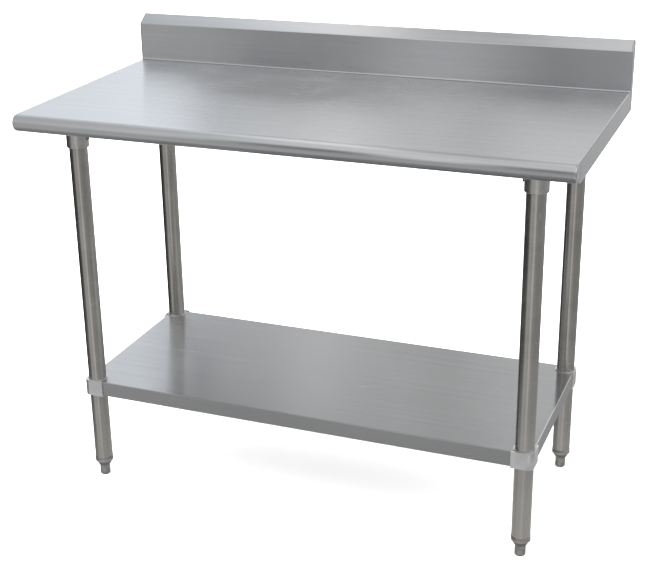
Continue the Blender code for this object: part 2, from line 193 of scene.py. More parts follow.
def soften(piece, width, segments, angle):
    # rounds the edges that are sharper than this many degrees
    limit = {"limit_method": "ANGLE", "angle_limit": math.radians(angle)}
    applyModifier(piece, "BEVEL", width=width, segments=segments, **limit)


def hatSection(name, reach, size, top, middle=0):
    # two lips against the sheet above and a web hung between them, running along X
    wall = size["web"] / 2
    edge = wall + size["lip"]
    drop = size["height"] - size["sheet"]
    piece = startEdge(name, reach, middle - edge, top)
    for y, z in [(size["lip"], 0), (0, -drop), (2 * wall, 0), (0, drop), (size["lip"], 0)]:
        drawOut(y=y, z=z)
    foldEdges(lambda co: near(abs(co.y - middle), wall), size["bend"])
    tidyMesh()
    thicken(piece, size["sheet"], (0, 0, -1))
    soften(piece, size["edgeBreak"], 1, 60)
    return piece


def copyTo(piece, name, move=(0, 0, 0), turn=0, flip=(1, 1)):
    # a copy with its own mesh, turned round Z, mirrored and put in place
    copied = bpy.data.objects.new(name, piece.data.copy())
    bpy.context.scene.collection.objects.link(copied)
    place = Matrix.Translation(move) @ Matrix.Diagonal((flip[0], flip[1], 1, 1))
    copied.data.transform(place @ Matrix.Rotation(turn, 4, "Z"))
    if flip[0] * flip[1] < 0:
        copied.data.flip_normals()
    return copied


grainAxis = (60, -1000, 0)


def layGrain(piece):
    # the grain runs in circles round an upright axis: from this far off they are straight, along the table
    piece.data.use_auto_texspace = False
    piece.data.texspace_location = grainAxis
    piece.data.texspace_size = (1, 1, 1)


def fit(piece, finish, body, slotName, *nodes):
    # dresses a piece, ties it to its body and lets it stand for the CAD solids it shows
    piece.data.materials.clear()
    piece.data.materials.append(finish)
    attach(piece, body)
    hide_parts(*nodes)


# Finishes


class Wire:
    # a socket, so that a plain expression adds its maths nodes
    def __init__(self, recipe, socket):
        self.recipe = recipe
        self.socket = socket

    def maths(self, operation, first, second):
        return self.recipe.node("ShaderNodeMath", {"operation": operation}, {0: first, 1: second})

    def __add__(self, other):
        return self.maths("ADD", self, other)

    __radd__ = __add__

    def __sub__(self, other):
        return self.maths("SUBTRACT", self, other)

    def __rsub__(self, other):
        return self.maths("SUBTRACT", other, self)

    def __mul__(self, other):
        return self.maths("MULTIPLY", self, other)

    __rmul__ = __mul__

    def __gt__(self, other):
        return self.maths("GREATER_THAN", self, other)

    def __lt__(self, other):
        return self.maths("LESS_THAN", self, other)

    def __abs__(self):
        return self.maths("ABSOLUTE", self, 0)


class Recipe:
    # the nodes of one material or of the world
    def __init__(self, owner):
        owner.use_nodes = True
        self.tree = owner.node_tree
        self.tree.nodes.clear()

    def node(self, kind, settings=None, values=None, out=0):
        made = self.tree.nodes.new(kind)
        for name, value in (settings or {}).items():
            if name == "stops":
                self.setStops(made.color_ramp, value)
            else:
                setattr(made, name, value)
        for key, value in (values or {}).items():
            if isinstance(value, Wire):
                self.tree.links.new(value.socket, made.inputs[key])
            else:
                made.inputs[key].default_value = value
        if isinstance(out, tuple):
            return [Wire(self, made.outputs[key]) for key in out]
        return Wire(self, made.outputs[out]) if made.outputs else None

    def setStops(self, ramp, stops):
        while len(ramp.elements) < len(stops):
            ramp.elements.new(1)
        for element, (position, grey) in zip(ramp.elements, stops):
            element.position = position
            element.color = (*grey, 1) if isinstance(grey, tuple) else (grey, grey, grey, 1)

    def place(self):
        return self.node("ShaderNodeTexCoord", out="Object")

    def split(self, vector):
        return self.node("ShaderNodeSeparateXYZ", values={0: vector}, out=(0, 1, 2))

    def join(self, x, y, z):
        return self.node("ShaderNodeCombineXYZ", values={0: x, 1: y, 2: z})

    def noise(self, vector, scale, detail=3, roughness=0.5, distortion=0):
        values = {"Vector": vector, "Scale": scale, "Detail": detail}
        values.update({"Roughness": roughness, "Distortion": distortion})
        return self.node("ShaderNodeTexNoise", values=values)

    def smooth(self, value, low, high):
        settings = {"interpolation_type": "SMOOTHSTEP"}
        return self.node("ShaderNodeMapRange", settings, {0: value, 1: low, 2: high})

    def blend(self, factor, first, second):
        settings = {"data_type": "RGBA"}
        return self.node("ShaderNodeMix", settings, {0: factor, 6: first, 7: second}, out=2)

    def times(self, first, second):
        settings = {"data_type": "RGBA", "blend_type": "MULTIPLY"}
        return self.node("ShaderNodeMix", settings, {0: 1, 6: first, 7: second}, out=2)

    def ramp(self, stops, value):
        return self.node("ShaderNodeValToRGB", {"stops": stops}, {0: value})

    def bump(self, height, distance, strength=1, under=None):
        values = {"Height": height, "Distance": distance, "Strength": strength}
        if under:
            values["Normal"] = under
        return self.node("ShaderNodeBump", values=values)

    def hairlines(self, vector, scale, width, patches):
        # thin wandering scratches that come and go in patches
        wander = self.noise(vector, scale, detail=1, distortion=0.4)
        line = 1 - self.smooth(abs(wander - 0.5), width * 0.3, width)
        return line * self.smooth(patches, 0.5, 0.62)

    def metal(self, colour, rough, normal, **fixed):
        values = {"Base Color": colour, "Roughness": rough, "Metallic": 1, "Normal": normal}
        values.update(fixed)
        shader = self.node("ShaderNodeBsdfPrincipled", values=values)
        self.node("ShaderNodeOutputMaterial", values={"Surface": shader})


def newFinish(name):
    finish = bpy.data.materials.new(name)
    return finish, Recipe(finish)


def rgb(red, green, blue):
    return (red, green, blue, 1)


def brushedSteel(name, look):
    # grain along the length, crossing to the depth on the two ends
    finish, recipe = newFinish(name)
    place = recipe.place()
    x, y, z = recipe.split(place)
    facing = recipe.split(recipe.node("ShaderNodeTexCoord", out="Normal"))
    onEnd = abs(facing[0]) > 0.7
    along = x * (1 - onEnd) + y * onEnd
    across = y * (1 - onEnd) + z
    fine = recipe.noise(recipe.join(along * 14, across * 1800, 0), 1, detail=2)
    streak = recipe.noise(recipe.join(along * 2.2, across * 420, onEnd), 1, detail=4, roughness=0.7)
    band = recipe.noise(recipe.join(along * 0.6, across * 60, onEnd * 3), 1, detail=3)
    hands = recipe.noise(place, 4.5, detail=5, roughness=0.6, distortion=0.8)
    patches = recipe.noise(place, 9, detail=2)
    scratches = recipe.hairlines(recipe.join(along * 0.12, across, 1), 26, 0.012, patches)
    half = look["halfLength"]
    edge = recipe.smooth(abs(x), half - 0.0045, half - 0.0012) * (1 - onEnd)
    tone = recipe.smooth(streak * 0.45 + band * 0.25 + hands * 0.3, 0.30, 0.70)
    colour = recipe.blend(tone, look["dark"], look["light"])
    colour = recipe.blend(edge * 0.8, colour, rgb(0.80, 0.80, 0.79))
    colour = recipe.blend(scratches * 0.05, colour, rgb(0.78, 0.78, 0.78))
    worn = (streak - 0.5) * 0.06 + (hands - 0.5) * 0.10 + (fine - 0.5) * 0.04
    rough = worn + look["rough"] - edge * 0.16 + scratches * 0.02
    if "rollEnd" in look:
        # the deck is duller than its roll, and painted shade lies as a dark line along the foot of the cove
        flat = facing[2] > 0.9
        rolled = 1 - recipe.smooth(y, look["rollEnd"] - 0.002, look["rollEnd"] + 0.0015)
        rough = rough + flat * 0.06 - rolled * 0.015
        paintedShadeY, paintedShadeZ = look["paintedCoveShade"]
        paintedCoveShade = 1 - recipe.smooth(abs(y - paintedShadeY), 0.0012, 0.0026)
        paintedCoveShade = paintedCoveShade * (1 - recipe.smooth(z, paintedShadeZ + 0.0008, paintedShadeZ + 0.0022))
        # painted shade: a thin dark grey line where the cove meets the deck
        colour = recipe.blend(paintedCoveShade * 0.55, colour, rgb(0.16, 0.16, 0.16))
    waves = recipe.bump(recipe.noise(place, look["waves"], detail=1), 0.003, 0.12)
    grain = recipe.bump(fine * 0.5 + streak * 0.3 - scratches * 0.03, 0.00001, 1, waves)
    recipe.metal(colour, rough, grain, **{"Anisotropic": 1, "Anisotropic Rotation": 0.25})
    return finish


def polishedTube(name, look):
    # drawn tube, polished round its girth, with faint runs down its length
    finish, recipe = newFinish(name)
    place = recipe.place()
    x, y, z = recipe.split(place)
    rings = recipe.noise(recipe.join(x * 40, y * 40, z * 1600), 1, detail=2)
    runs = recipe.noise(recipe.join(x * 190, y * 190, z * 2.5), 1, detail=3)
    clouds = recipe.noise(place, 11, detail=4, roughness=0.6, distortion=0.6)
    patches = recipe.noise(place, 17, detail=2)
    scuffs = recipe.hairlines(recipe.join(x, y, z * 0.4), 32, 0.010, patches)
    # the tube turns lighter, warmer and rougher towards its bottom, fading out 14 cm up
    upFromFloor = recipe.smooth(z, 0.0, 0.14)
    tone = recipe.smooth(clouds * 0.5 + runs * 0.3 + rings * 0.2, 0.33, 0.67)
    colour = recipe.blend(tone, look["dark"], look["light"])
    colour = recipe.blend((1 - upFromFloor) * 0.35, colour, look["low"])
    colour = recipe.blend(scuffs * 0.3, colour, rgb(0.82, 0.81, 0.79))
    rough = (clouds - 0.5) * 0.14 + (rings - 0.5) * 0.05 + look["rough"]
    rough = rough + scuffs * 0.1 + (1 - upFromFloor) * 0.05
    soft = recipe.bump(runs, 0.0004, 0.25)
    grain = recipe.bump(rings - scuffs * 0.6, 0.00002, 1, soft)
    recipe.metal(colour, rough, grain)
    return finish


def satinSteel(name, look):
    # turned steel with fine rings, and grey shading in the weld's root
    finish, recipe = newFinish(name)
    place = recipe.place()
    x, y, z = recipe.split(place)
    rings = recipe.noise(recipe.join(x * 60, y * 60, z * 2200), 1, detail=3)
    clouds = recipe.noise(place, 38, detail=4, roughness=0.65)
    specks = recipe.smooth(recipe.noise(place, 520, detail=2), 0.60, 0.72)
    heat = recipe.smooth(z, look["weldLow"], look["weldHigh"])
    colour = recipe.blend(recipe.smooth(clouds, 0.3, 0.7), look["dark"], look["light"])
    colour = recipe.blend(heat * 0.35, colour, rgb(0.42, 0.39, 0.36))
    colour = recipe.blend(specks * 0.3, colour, look["speck"])
    rough = (clouds - 0.5) * 0.2 + (rings - 0.5) * 0.1 + look["rough"] + heat * 0.12
    grain = recipe.bump(rings * 0.6 + specks * 0.5, 0.00004, 1)
    recipe.metal(colour, rough, grain)
    return finish


def castAluminium(name):
    # a sand casting, tumbled: pitted skin, brighter where corners rub
    finish, recipe = newFinish(name)
    place = recipe.place()
    skin = recipe.noise(place, 900, detail=4, roughness=0.7)
    pits = recipe.smooth(recipe.noise(place, 430, detail=2), 0.60, 0.70)
    clouds = recipe.noise(place, 55, detail=4, distortion=0.5)
    rubbed = recipe.smooth(recipe.node("ShaderNodeNewGeometry", out="Pointiness"), 0.52, 0.62)
    colour = recipe.blend(recipe.smooth(clouds, 0.3, 0.7), rgb(0.78, 0.78, 0.79), rgb(0.90, 0.90, 0.91))
    colour = recipe.blend(pits * 0.45, colour, rgb(0.50, 0.50, 0.49))
    colour = recipe.blend(rubbed * 0.6, colour, rgb(0.92, 0.92, 0.92))
    rough = (clouds - 0.5) * 0.2 + (skin - 0.5) * 0.15 + 0.31 + pits * 0.12 - rubbed * 0.1
    recipe.metal(colour, rough, recipe.bump(skin - pits * 1.4, 0.00012, 0.8))
    return finish


def galvanised(name):
    # zinc spangle a few millimetres across, dulled in places
    finish, recipe = newFinish(name)
    place = recipe.place()
    wander = recipe.noise(place, 60, detail=2)
    bent = recipe.node("ShaderNodeVectorMath", {"operation": "ADD"}, {0: place, 1: wander})
    cells = {"Vector": bent, "Scale": 110}
    rim, shade = recipe.node("ShaderNodeTexVoronoi", values=cells, out=("Distance", "Color"))
    grain = recipe.split(shade)[0]
    clouds = recipe.noise(place, 14, detail=4, roughness=0.6)
    drips = recipe.noise(place, 300, detail=3)
    colour = recipe.blend(grain, rgb(0.44, 0.45, 0.46), rgb(0.66, 0.67, 0.68))
    colour = recipe.blend(recipe.smooth(clouds, 0.48, 0.7) * 0.5, colour, rgb(0.60, 0.60, 0.58))
    rough = grain * 0.18 + clouds * 0.15 + 0.30
    recipe.metal(colour, rough, recipe.bump(rim * 0.6 + drips * 0.4, 0.00008, 0.7))
    return finish


def platedSteel(name, dark, light):
    # bright zinc plating with dull freckles
    finish, recipe = newFinish(name)
    place = recipe.place()
    freckles = recipe.smooth(recipe.noise(place, 620, detail=3), 0.52, 0.64)
    clouds = recipe.noise(place, 90, detail=4)
    colour = recipe.blend(recipe.smooth(clouds, 0.35, 0.65), dark, light)
    colour = recipe.blend(freckles * 0.5, colour, rgb(0.80, 0.79, 0.77))
    rough = freckles * 0.15 + clouds * 0.2 + 0.22
    recipe.metal(colour, rough, recipe.bump(freckles + clouds, 0.00005, 0.8))
    return finish


print("Finishes")
shelfLook = {
    "dark": rgb(0.455, 0.460, 0.466),
    "light": rgb(0.525, 0.530, 0.536),
    "rough": 0.25,
    "waves": 2.6,
    "halfLength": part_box("undershelf_pan")[1].x,
}
tubeLook = {
    "dark": rgb(0.50, 0.48, 0.45),
    "light": rgb(0.62, 0.60, 0.57),
    "low": rgb(0.66, 0.62, 0.56),
    "rough": 0.20,
}
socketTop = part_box("leg_socket_front_left")[1].z
socketLook = {
    "dark": rgb(0.58, 0.57, 0.56),
    "light": rgb(0.72, 0.71, 0.70),
    "speck": rgb(0.85, 0.84, 0.82),
    "rough": 0.30,
    "weldLow": socketTop - 0.009,
    "weldHigh": socketTop - 0.004,
}
insertLook = dict(socketLook, dark=rgb(0.50, 0.49, 0.47), light=rgb(0.63, 0.62, 0.60), rough=0.33)
shelfFinish = brushedSteel("brushedShelf", shelfLook)
tubeFinish = polishedTube("polishedTube", tubeLook)
socketFinish = satinSteel("satinSocket", socketLook)
insertFinish = satinSteel("satinInsert", insertLook)
castFinish = castAluminium("castAluminium")
zincFinish = galvanised("galvanisedChannel")
screwFinish = platedSteel("blackenedScrew", rgb(0.24, 0.24, 0.25), rgb(0.42, 0.42, 0.43))
footFinish = platedSteel("platedFoot", rgb(0.38, 0.37, 0.36), rgb(0.55, 0.54, 0.52))
studFinish = platedSteel("platedNut", rgb(0.50, 0.50, 0.49), rgb(0.66, 0.66, 0.64))


# The worktop: front roll, deck, cove, splashback and its end plates in one welded shell

worktopSize = {
    "roll": 0.0193,  # radius of the front roll
    "rollSteps": 28,
    "curl": 120,  # degrees that the roll goes on under itself
    "sideDrop": 0.0457,
    "cove": 0.0045,
    "cornerCut": 0.026,  # how far back each end plate's lower front corner is cut
    "cornerRound": 0.009,
    "paintedShadeIn": 0.0352,  # from the rear to the painted shade line at the cove's foot
    "splashDepth": 0.03175,
    "splashRise": 0.0906,
    "slopeRise": 0.0215,
    "rearReturn": 0.038,
    "browRound": 0.0016,
    "ridgeRound": 0.0028,
    "groundEdge": 0.0046,  # the rounding ground along the two ends
    "sheet": 0.0015,
}
deckLow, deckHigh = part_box("worktop_sheet")
deckLook = {
    "dark": rgb(0.595, 0.605, 0.620),
    "light": rgb(0.680, 0.690, 0.700),
    "rough": 0.20,
    "waves": 2.2,
    "halfLength": deckHigh.x,
    "rollEnd": deckLow.y + worktopSize["roll"],
    # where the painted shade line at the cove's foot lies, across and up
    "paintedCoveShade": (deckHigh.y - worktopSize["paintedShadeIn"], deckLow.z + worktopSize["sideDrop"]),
}


def makeWorktop(size):
    half, front, rear = deckHigh.x, deckLow.y, deckHigh.y
    drop = deckLow.z
    top = drop + size["sideDrop"]
    roll = size["roll"]
    rollY, rollZ, rollLow = front + roll, top - roll, top - 2 * roll
    splashY = rear - size["splashDepth"]
    coveY = splashY - size["cove"]
    ridge = top + size["splashRise"] + size["slopeRise"]
    openBack = ridge - size["rearReturn"]
    loose = 1e-4  # for points that the roundings have moved a little
    clear = 0.01
    cornerY = rollY + size["cornerCut"]
    browZ = top + size["splashRise"]
    piece = startEdge("worktop_shell", half, rollY, rollLow)
    bpy.ops.mesh.spin(steps=size["rollSteps"], angle=math.pi, center=(0, rollY, rollZ), axis=(1, 0, 0))
    drawOut(y=coveY - rollY)
    coveAt = (0, coveY, top + size["cove"])
    bpy.ops.mesh.spin(steps=8, angle=math.pi / 2, center=coveAt, axis=(-1, 0, 0))
    drawOut(z=size["splashRise"] - size["cove"])
    drawOut(y=size["splashDepth"], z=size["slopeRise"])
    drawOut(z=-size["rearReturn"])
    drawOut(z=drop - ridge + size["rearReturn"])
    drawOut(y=cornerY - rear)
    drawOut(y=-size["cornerCut"], z=rollLow - drop)
    bpy.ops.mesh.select_all(action="SELECT")
    bpy.ops.mesh.remove_doubles(threshold=1e-6)
    foldEdges(lambda co: near(co.y, cornerY) and near(co.z, drop), size["cornerRound"])
    for sign in (-1, 1):
        chooseEdges(lambda co: near(co.x, sign * half))
        bpy.ops.mesh.edge_face_add()

    def onWeld(edge):
        first, second = (vert.co for vert in edge.verts)
        onOneEnd = near(abs(first.x), half) and near(first.x, second.x)
        return onOneEnd and max(first.z, second.z) > rollLow + loose

    # the welds along both ends are ground round, all but the hanging edge
    choose("EDGE", onWeld)
    bpy.ops.mesh.bevel(offset=size["groundEdge"], segments=5, affect="EDGES", clamp_overlap=False)
    foldEdges(lambda co: near(co.y, splashY) and near(co.z, browZ), size["browRound"])
    foldEdges(lambda co: near(co.y, rear) and near(co.z, ridge), size["ridgeRound"], 6)
    bpy.ops.mesh.select_all(action="SELECT")
    bpy.ops.mesh.normals_make_consistent(inside=False)

    def leftOpen(co):
        # the faces under the deck, and behind the splashback below its return
        below = co.z < rollLow - loose and co.y < rear - loose
        behind = near(co.y, rear, loose) and co.z < openBack - clear
        return abs(co.x) < clear and (below or behind)

    chooseFaces(leftOpen)
    bpy.ops.mesh.delete(type="FACE")
    chooseEdges(lambda co: near(co.y, rollY, loose) and near(co.z, rollLow, loose))
    curl = math.radians(size["curl"])
    bpy.ops.mesh.spin(steps=12, angle=curl, center=(0, rollY, rollZ), axis=(-1, 0, 0))
    bpy.ops.object.mode_set(mode="OBJECT")
    thicken(piece, size["sheet"], (0, 0, -1))
    layGrain(piece)
    shadeByAngle(piece, 40)
    return piece


print("Worktop")
endPlates = [f"{end}_cap_{side}" for end in ("roll_end", "splash_end") for side in ("left", "right")]
deckFinish = brushedSteel("brushedDeck", deckLook)
fit(makeWorktop(worktopSize), deckFinish, "table", "worktop", "worktop_sheet", *endPlates)


# Framing under the worktop: hat channels held up by studs and nuts

channelSize = {
    "web": 0.070,
    "lip": 0.018,
    "height": 0.0254,
    "sheet": 0.0015,
    "bend": 0.0025,
    "edgeBreak": 0.0002,
}
nutSize = {
    "acrossFlats": 0.010,
    "height": 0.005,
    "flatBreak": 0.0002,
    "crown": 0.0007,  # height of the turned chamfer under the flats
    "stud": 0.003,
    "play": 0.0001,
    "pitch": 0.001,
    "threadDepth": 0.0004,
    "tip": 0.0005,
    "threadStart": 0.0008,
    "threadStop": 0.0006,
    "sheetAbove": 0.0018,  # the channel's sheet, between the nut and the deck
    "turn": 17,  # degrees that each nut is turned past the one before
}


def makeChannels(size):
    low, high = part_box("cross_channel_left")
    cross = hatSection("channel_cross", (high.y - low.y) / 2, size, high.z)
    for side in ("left", "right"):
        middle = middleOf(f"cross_channel_{side}")
        piece = copyTo(cross, f"channel_{side}", (middle.x, middle.y, 0), turn=math.pi / 2)
        shadeByAngle(piece)
        fit(piece, zincFinish, "table", "zinc", f"cross_channel_{side}")
    bpy.data.objects.remove(cross)
    low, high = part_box("long_channel")
    piece = hatSection("channel_long", high.x, size, high.z)
    shadeByAngle(piece)
    fit(piece, zincFinish, "table", "zinc", "long_channel")


def makeStudNuts(size):
    low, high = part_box("stud_nut_long_1")
    flat = size["acrossFlats"] / 2
    corner = flat / math.cos(math.pi / 6)
    stud, root = size["stud"], size["stud"] - size["threadDepth"]
    nutTop = high.z - size["sheetAbove"]
    nutLow = nutTop - size["height"]
    rings = [(root, low.z), (stud, low.z + size["tip"])]
    height = low.z + size["threadStart"]
    while height < nutLow - size["threadStop"]:
        rings += [(stud, height), (root, height + size["pitch"] / 2)]
        height += size["pitch"]
    rings += [(stud, nutLow), (stud, high.z)]
    threaded = turnedPiece("stud", rings, 24)
    bore = stud + size["play"]
    rings = [(bore, nutLow), (flat - size["flatBreak"], nutLow), (corner, nutLow + size["crown"])]
    rings += [(corner, nutTop), (bore, nutTop)]
    nut = turnedPiece("nut", rings, 6, hollow=True)
    makeActive(threaded)
    nut.select_set(True)
    bpy.ops.object.join()
    shadeByAngle(threaded)
    places = [f"{row}_{place}" for row in ("cross_left", "cross_right", "long") for place in range(1, 5)]
    for count, place in enumerate(places):
        at = middleOf(f"stud_nut_{place}")
        turn = math.radians(size["turn"] * count)
        piece = copyTo(threaded, f"nut_{place}", (at.x, at.y, 0), turn)
        fit(piece, studFinish, "table", "screw", f"stud_nut_{place}")
    bpy.data.objects.remove(threaded)


print("Channels and nuts")
makeChannels(channelSize)
makeStudNuts(nutSize)


# Legs and the sockets that hold them

tubeSize = {"radius": 0.0206375, "wall": 0.0015, "deburr": 0.0004, "sides": 96}
screwCut = {
    "pitch": 0.0007,
    "depth": 0.0003,
    "tip": 0.0006,
    "rim": 0.0005,
    "keyDepth": 0.0025,
    "keyPast": 0.001,
    "play": 0.0003,  # round the screw in its hole, and between its tip and the leg
}
socketSize = {
    "bore": 0.0210,
    "collar": 0.0250,
    "lead": 0.0010,  # rounding of the mouth
    "roofEye": 0.002,  # the last ring that the bore's roof closes over
    "roofGap": 0.0001,
    "plate": 0.0365,
    "plateThickness": 0.003,
    "edgeBreak": 0.0006,
    "weld": 0.0045,
    "screwUp": 0.020,
    "screw": 0.004,
    "screwLength": 0.0072,
    "key": 0.0023,
    "holeStart": 0.016,
    "holeLength": 0.012,
}


def makeLegs(size):
    low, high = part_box("leg_tube_front_left")
    outer, small = size["radius"], size["deburr"]
    inner = outer - size["wall"]
    rings = [(inner, low.z + small), (inner + small, low.z)]
    rings += [(outer - small, low.z), (outer, low.z + small)]
    rings += [(outer, high.z - small), (outer - small, high.z)]
    rings += [(inner + small, high.z), (inner, high.z - small)]
    tube = turnedPiece("tube", rings, size["sides"], hollow=True)
    shadeByAngle(tube, 50)
    for corner, at in legAt.items():
        piece = copyTo(tube, f"tube_{corner}", (at.x, at.y, 0), turn=at.x)
        fit(piece, tubeFinish, "table", "tube", f"leg_tube_{corner}")
    bpy.data.objects.remove(tube)


def layAlongX(piece, start, height=0):
    # a piece turned round Z, laid down with its foot this far out
    piece.data.transform(Matrix.Translation((start, 0, height)) @ Matrix.Rotation(math.pi / 2, 4, "Y"))


def makeSetScrew(size, shape):
    # lies along X against the leg, with the key's hexagon in its outer end
    radius, length, key = size["screw"], size["screwLength"], size["key"]
    pitch, tip, rim = shape["pitch"], shape["tip"], shape["rim"]
    rings = [(radius - tip, 0), (radius, tip)]
    for turn in range(1, int(length / pitch) - 1):
        rings += [(radius, pitch * turn), (radius - shape["depth"], pitch * turn + pitch / 2)]
    rings += [(radius, length - rim), (radius - rim, length)]
    screw = turnedPiece("screw", rings, 30)
    cut(screw, turnedPiece("key", [(key, length - shape["keyDepth"]), (key, length + shape["keyPast"])], 6))
    layAlongX(screw, tubeSize["radius"] + shape["play"])
    shadeByAngle(screw)
    return screw


def makeSockets(size):
    low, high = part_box("leg_socket_front_left")
    bore, collar, lead, weld = size["bore"], size["collar"], size["lead"], size["weld"]
    plate, small = size["plate"], size["edgeBreak"]
    plateLow = high.z - size["plateThickness"]
    roof = plateLow - size["roofGap"]
    rings = [(size["roofEye"], roof), (bore, roof), (bore, low.z + lead)]
    rings += roundPoints((bore + lead, low.z + lead), lead, 180, 270, 4)[1:]
    rings += roundPoints((collar - lead, low.z + lead), lead, -90, 0, 4)
    rings += roundPoints((collar + weld, plateLow - weld), weld, 180, 90, 6)
    rings += [(plate - small, plateLow), (plate, plateLow + small)]
    rings += [(plate, high.z - small), (plate - small, high.z)]
    socket = turnedPiece("socket", rings, 72)
    screwZ = low.z + size["screwUp"]
    holeRadius = size["screw"] + screwCut["play"]
    hole = turnedPiece("hole", [(holeRadius, 0), (holeRadius, size["holeLength"])], 32)
    layAlongX(hole, size["holeStart"], screwZ)
    cut(socket, hole)
    shadeByAngle(socket)
    screw = makeSetScrew(size, screwCut)
    screw.data.transform(Matrix.Translation((0, 0, screwZ)))
    for corner, at in legAt.items():
        turn = 0 if at.x < 0 else math.pi
        piece = copyTo(socket, f"socket_{corner}", (at.x, at.y, 0), turn)
        fit(piece, socketFinish, "table", "socket", f"leg_socket_{corner}")
        piece = copyTo(screw, f"socket_screw_{corner}", (at.x, at.y, 0), turn)
        fit(piece, screwFinish, "table", "screw", f"socket_set_screw_{corner}")
    bpy.data.objects.remove(socket)
    bpy.data.objects.remove(screw)


print("Legs and sockets")
makeLegs(tubeSize)
makeSockets(socketSize)


# The undershelf: a pan with turned-down and hemmed sides, a hat under it, and a cast clamp at each corner

shelfSize = {
    "flange": 0.0355,
    "hem": 0.012,
    "sheet": 0.0012,
    "bend": 0.0022,
    "hemBend": 0.00154,
    "notch": 0.0243,  # radius cut away round each leg
}
stiffenerSize = {
    "web": 0.060,
    "lip": 0.015,
    "height": 0.020,
    "sheet": 0.0012,
    "bend": 0.0022,
    "edgeBreak": 0.0002,
}
clampSize = {
    "reach": 0.0242,
    "pan": 0.0213,  # the casting's inner face, against the pan's flange
    "corner": 0.014,
    "ring": 0.0240,
    "ringBreak": 0.0008,
    "bore": 0.0210,
    "boreBreak": 0.0006,
    "borePast": 0.001,
    "below": 0.0372,
    "above": 0.0016,
    "lip": 0.0004,
    "boss": 0.0065,
    "bossRoot": (0.0215, 0.0012),  # how far out it starts, and how much wider it is there
    "bossNeck": (0.0245, 0.0004),
    "bossEnd": 0.032,
    "inward": 225,  # degrees round Z that the boss points
    "screwDrop": 0.020,
    "screw": 0.003,
    "screwLength": 0.0122,
    "key": 0.0017,
    "hole": (0.016, 0.036),
    "rounding": 0.0007,
}


def makeShelf(size):
    low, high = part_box("undershelf_pan")
    middle = (low + high) / 2
    deselectAll()
    bpy.ops.mesh.primitive_plane_add(size=1, location=(middle.x, middle.y, high.z))
    bpy.context.object.scale = (high.x - low.x, high.y - low.y, 1)
    piece = editNew("shelf_pan")
    first, last = legAt["front_left"], legAt["rear_right"]
    for at in first, last:
        bpy.ops.mesh.select_all(action="SELECT")
        bpy.ops.mesh.bisect(plane_co=(at.x, 0, high.z), plane_no=(1, 0, 0))
        bpy.ops.mesh.select_all(action="SELECT")
        bpy.ops.mesh.bisect(plane_co=(0, at.y, high.z), plane_no=(0, 1, 0))
    # the corners past the legs go, and each side is turned down and hemmed inwards
    chooseFaces(lambda co: not first.x < co.x < last.x and not first.y < co.y < last.y)
    bpy.ops.mesh.delete(type="FACE")
    for axis in (0, 1):
        for side, inward in ((low, size["hem"]), (high, -size["hem"])):
            chooseEdges(lambda co: near(co[axis], side[axis]) and near(co.z, high.z))
            drawOut(z=-size["flange"])
            drawOut(**{"xy"[axis]: inward})

    def onRim(co):
        return any(near(co[axis], side[axis]) for side in (low, high) for axis in (0, 1))

    foldEdges(lambda co: onRim(co) and near(co.z, high.z), size["bend"], 5)
    foldEdges(lambda co: onRim(co) and near(co.z, high.z - size["flange"]), size["hemBend"], 4)
    bpy.ops.object.mode_set(mode="OBJECT")
    thicken(piece, size["sheet"], (0, 0, -1))
    notch = size["notch"]
    for at in legAt.values():
        tool = turnedPiece("notch", [(notch, low.z - toolPast), (notch, high.z + toolPast)], 64)
        tool.data.transform(Matrix.Translation((at.x, at.y, 0)))
        cut(piece, tool)
    layGrain(piece)
    shadeByAngle(piece, 40)
    fit(piece, shelfFinish, "undershelf", "shelf", "undershelf_pan")


def makeStiffener(size):
    low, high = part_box("shelf_stiffener")
    piece = hatSection("shelf_hat", high.x, size, high.z, (low.y + high.y) / 2)
    shadeByAngle(piece)
    fit(piece, zincFinish, "undershelf", "zinc", "shelf_stiffener")


def block(name, low, high):
    # a working block between two corners
    deselectAll()
    low, high = Vector(low), Vector(high)
    bpy.ops.mesh.primitive_cube_add(size=1, location=(low + high) / 2)
    bpy.context.object.scale = high - low
    return editNew(name)


